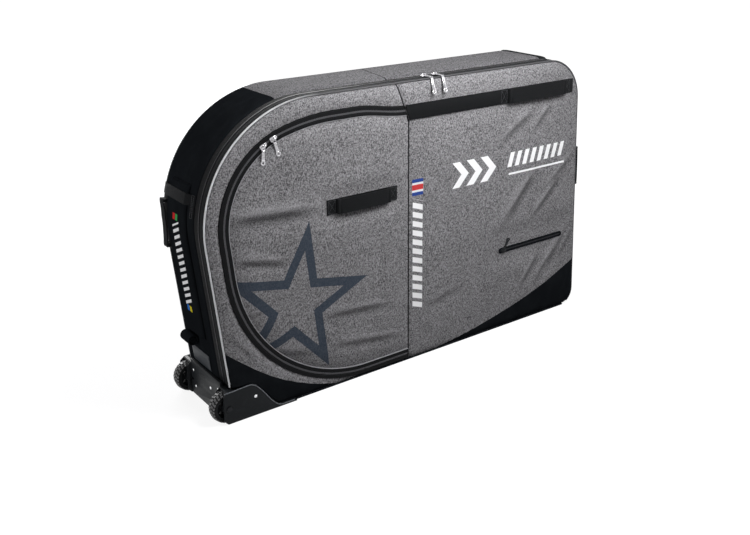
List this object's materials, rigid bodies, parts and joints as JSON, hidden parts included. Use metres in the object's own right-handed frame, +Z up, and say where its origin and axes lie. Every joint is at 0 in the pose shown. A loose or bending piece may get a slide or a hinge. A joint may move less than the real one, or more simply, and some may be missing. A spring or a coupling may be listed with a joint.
{
  "type": "soft bike travel bag",
  "caption": "Soft padded travel bag for a bicycle, upright on its long side, with a zipped cover, a wheel pocket flap, a moulded corner housing and rollers.",
  "frame": {"origin": "on the floor under the middle of the bag's length and depth", "axes": "+X along the length away from the wheels, -Y out of the face that opens, +Z up"},
  "size_m": [1.291, 0.2595, 0.8016],
  "materials": {
    "grey_fabric": "heathered woven polyester, matte",
    "black_fabric": "tightly woven nylon, matte",
    "black_webbing": "ribbed webbing",
    "zip_tape": "zip tape with a moulded chain",
    "lining": "plain lining",
    "moulded_plastic": "fine moulded grain",
    "rubber_tread": "moulded tread",
    "steel": "zinc plated",
    "nickel": "nickel plated zinc",
    "piping": "light reflective piping"
  },
  "bodies": {
    "bag_body": {"rear_panel": "grey_fabric", "rear_left_patch": "black_fabric", "rear_right_patch": "black_fabric", "rear_piping": "piping", "body_zip_tape": "zip_tape", "right_gusset": "black_fabric", "gusset_strap": "black_webbing", "top_gusset": "grey_fabric", "nose_gusset": "black_fabric", "bottom_panel": "black_fabric", "base_board": "lining", "front_stiffener": "lining", "rear_stiffener": "lining", "left_tie_strap": "black_webbing", "left_tie_buckle": "moulded_plastic", "right_tie_strap": "black_webbing", "right_tie_buckle": "moulded_plastic", "end_sleeve": "black_fabric", "cross_strap": "black_webbing", "strap_patch": "black_webbing", "end_skid": "moulded_plastic", "sleeve_fold": "black_fabric", "corner_housing": "moulded_plastic", "front_axle": "steel", "rear_axle": "steel", "wheel_end_handle_base": "black_webbing"},
    "front_cover": {"left_panel": "grey_fabric", "left_corner_patch": "black_fabric", "right_panel": "grey_fabric", "right_corner_patch": "black_fabric", "front_piping": "piping", "zip_rim": "zip_tape", "cover_zip_tape": "zip_tape", "wheel_pocket_liner": "lining", "webbing_band": "black_webbing", "pocket_zip": "zip_tape", "plain_end_handle_base": "black_webbing"},
    "pocket_flap": {"flap_panel": "grey_fabric", "flap_zip_tape": "zip_tape", "carry_handle_base": "black_webbing"},
    "front_wheel": {"front_tyre": "rubber_tread", "front_hub": "moulded_plastic", "front_bearing": "steel"},
    "rear_wheel": {"rear_tyre": "rubber_tread", "rear_hub": "moulded_plastic", "rear_bearing": "steel"},
    "main_left_slider_body": {"main_left_slider": "nickel"},
    "main_left_pull_body": {"main_left_pull": "nickel"},
    "main_right_slider_body": {"main_right_slider": "nickel"},
    "main_right_pull_body": {"main_right_pull": "nickel"},
    "flap_left_slider_body": {"flap_left_slider": "nickel"},
    "flap_left_pull_body": {"flap_left_pull": "nickel"},
    "flap_right_slider_body": {"flap_right_slider": "nickel"},
    "flap_right_pull_body": {"flap_right_pull": "nickel"},
    "pocket_slider_body": {"pocket_slider": "nickel"},
    "pocket_pull_body": {"pocket_pull": "nickel"},
    "carry_grip_body": {"carry_handle_grip": "black_webbing"},
    "band_grip_body": {"band_grip": "black_webbing"},
    "wheel_end_grip_body": {"wheel_end_grip": "black_webbing"},
    "plain_end_grip_body": {"plain_end_grip": "black_webbing"}
  },
  "joints": [
    {"name": "front_cover_hinge", "type": "hinge", "parent": "bag_body", "child": "front_cover", "pos_m": [0, -0.12, 0.004], "axis": [1, 0, 0], "range_deg": [0, 88]},
    {"name": "pocket_flap_hinge", "type": "hinge", "parent": "front_cover", "child": "pocket_flap", "pos_m": [-0.035, -0.12, 0.38], "axis": [0, 0, 1], "range_deg": [0, 140]},
    {"name": "front_wheel_spin", "type": "hinge", "parent": "bag_body", "child": "front_wheel", "pos_m": [-0.598, -0.1024, 0.042], "axis": [0, 1, 0], "continuous": true},
    {"name": "rear_wheel_spin", "type": "hinge", "parent": "bag_body", "child": "rear_wheel", "pos_m": [-0.598, 0.1024, 0.042], "axis": [0, 1, 0], "continuous": true},
    {"name": "main_left_slide", "type": "slide", "parent": "front_cover", "child": "main_left_slider_body", "axis": [1, 0, 0], "range_m": [-0.36, 0]},
    {"name": "main_right_slide", "type": "slide", "parent": "front_cover", "child": "main_right_slider_body", "axis": [1, 0, 0], "range_m": [0, 0.4]},
    {"name": "flap_left_slide", "type": "hinge", "parent": "pocket_flap", "child": "flap_left_slider_body", "pos_m": [-0.34798, -0.12, 0.49243], "axis": [0, -1, 0], "range_deg": [0, 55]},
    {"name": "flap_right_slide", "type": "hinge", "parent": "pocket_flap", "child": "flap_right_slider_body", "pos_m": [-0.34798, -0.12, 0.49243], "axis": [0, -1, 0], "range_deg": [-8, 0]},
    {"name": "pocket_slide", "type": "slide", "parent": "front_cover", "child": "pocket_slider_body", "axis": [1, 0, 0], "range_m": [0, 0.22]},
    {"name": "main_left_pull_swing", "type": "hinge", "parent": "main_left_slider_body", "child": "main_left_pull_body", "pos_m": [0.042, -0.1163, 0.798], "axis": [-1, 0, 0], "range_deg": [0, 100]},
    {"name": "main_right_pull_swing", "type": "hinge", "parent": "main_right_slider_body", "child": "main_right_pull_body", "pos_m": [0.08, -0.1163, 0.798], "axis": [-1, 0, 0], "range_deg": [0, 100]},
    {"name": "flap_left_pull_swing", "type": "hinge", "parent": "flap_left_slider_body", "child": "flap_left_pull_body", "pos_m": [-0.47192, -0.1225, 0.68112], "axis": [-0.9976, 0, 0.0698], "range_deg": [0, 100]},
    {"name": "flap_right_pull_swing", "type": "hinge", "parent": "flap_right_slider_body", "child": "flap_right_pull_body", "pos_m": [-0.44021, -0.1225, 0.69612], "axis": [-0.9563, 0, -0.2924], "range_deg": [0, 100]},
    {"name": "pocket_pull_swing", "type": "hinge", "parent": "pocket_slider_body", "child": "pocket_pull_body", "pos_m": [0.32175, -0.1243, 0.25996], "axis": [0.866, 0, -0.5], "range_deg": [0, 100]},
    {"name": "carry_grip_lift", "type": "hinge", "parent": "pocket_flap", "child": "carry_grip_body", "pos_m": [-0.187, -0.1313, 0.524], "axis": [-1, 0, 0], "range_deg": [0, 55]},
    {"name": "band_grip_lift", "type": "hinge", "parent": "front_cover", "child": "band_grip_body", "pos_m": [0.428, -0.1313, 0.736], "axis": [-1, 0, 0], "range_deg": [0, 55]},
    {"name": "wheel_end_grip_lift", "type": "hinge", "parent": "bag_body", "child": "wheel_end_grip_body", "pos_m": [-0.64401, 0.0937, 0.42776], "axis": [0.0217, 0, -0.9998], "range_deg": [0, 55]},
    {"name": "plain_end_grip_lift", "type": "hinge", "parent": "front_cover", "child": "plain_end_grip_body", "pos_m": [0.63788, -0.1057, 0.40043], "axis": [0.0298, 0, -0.9996], "range_deg": [0, 55]}
  ]
}
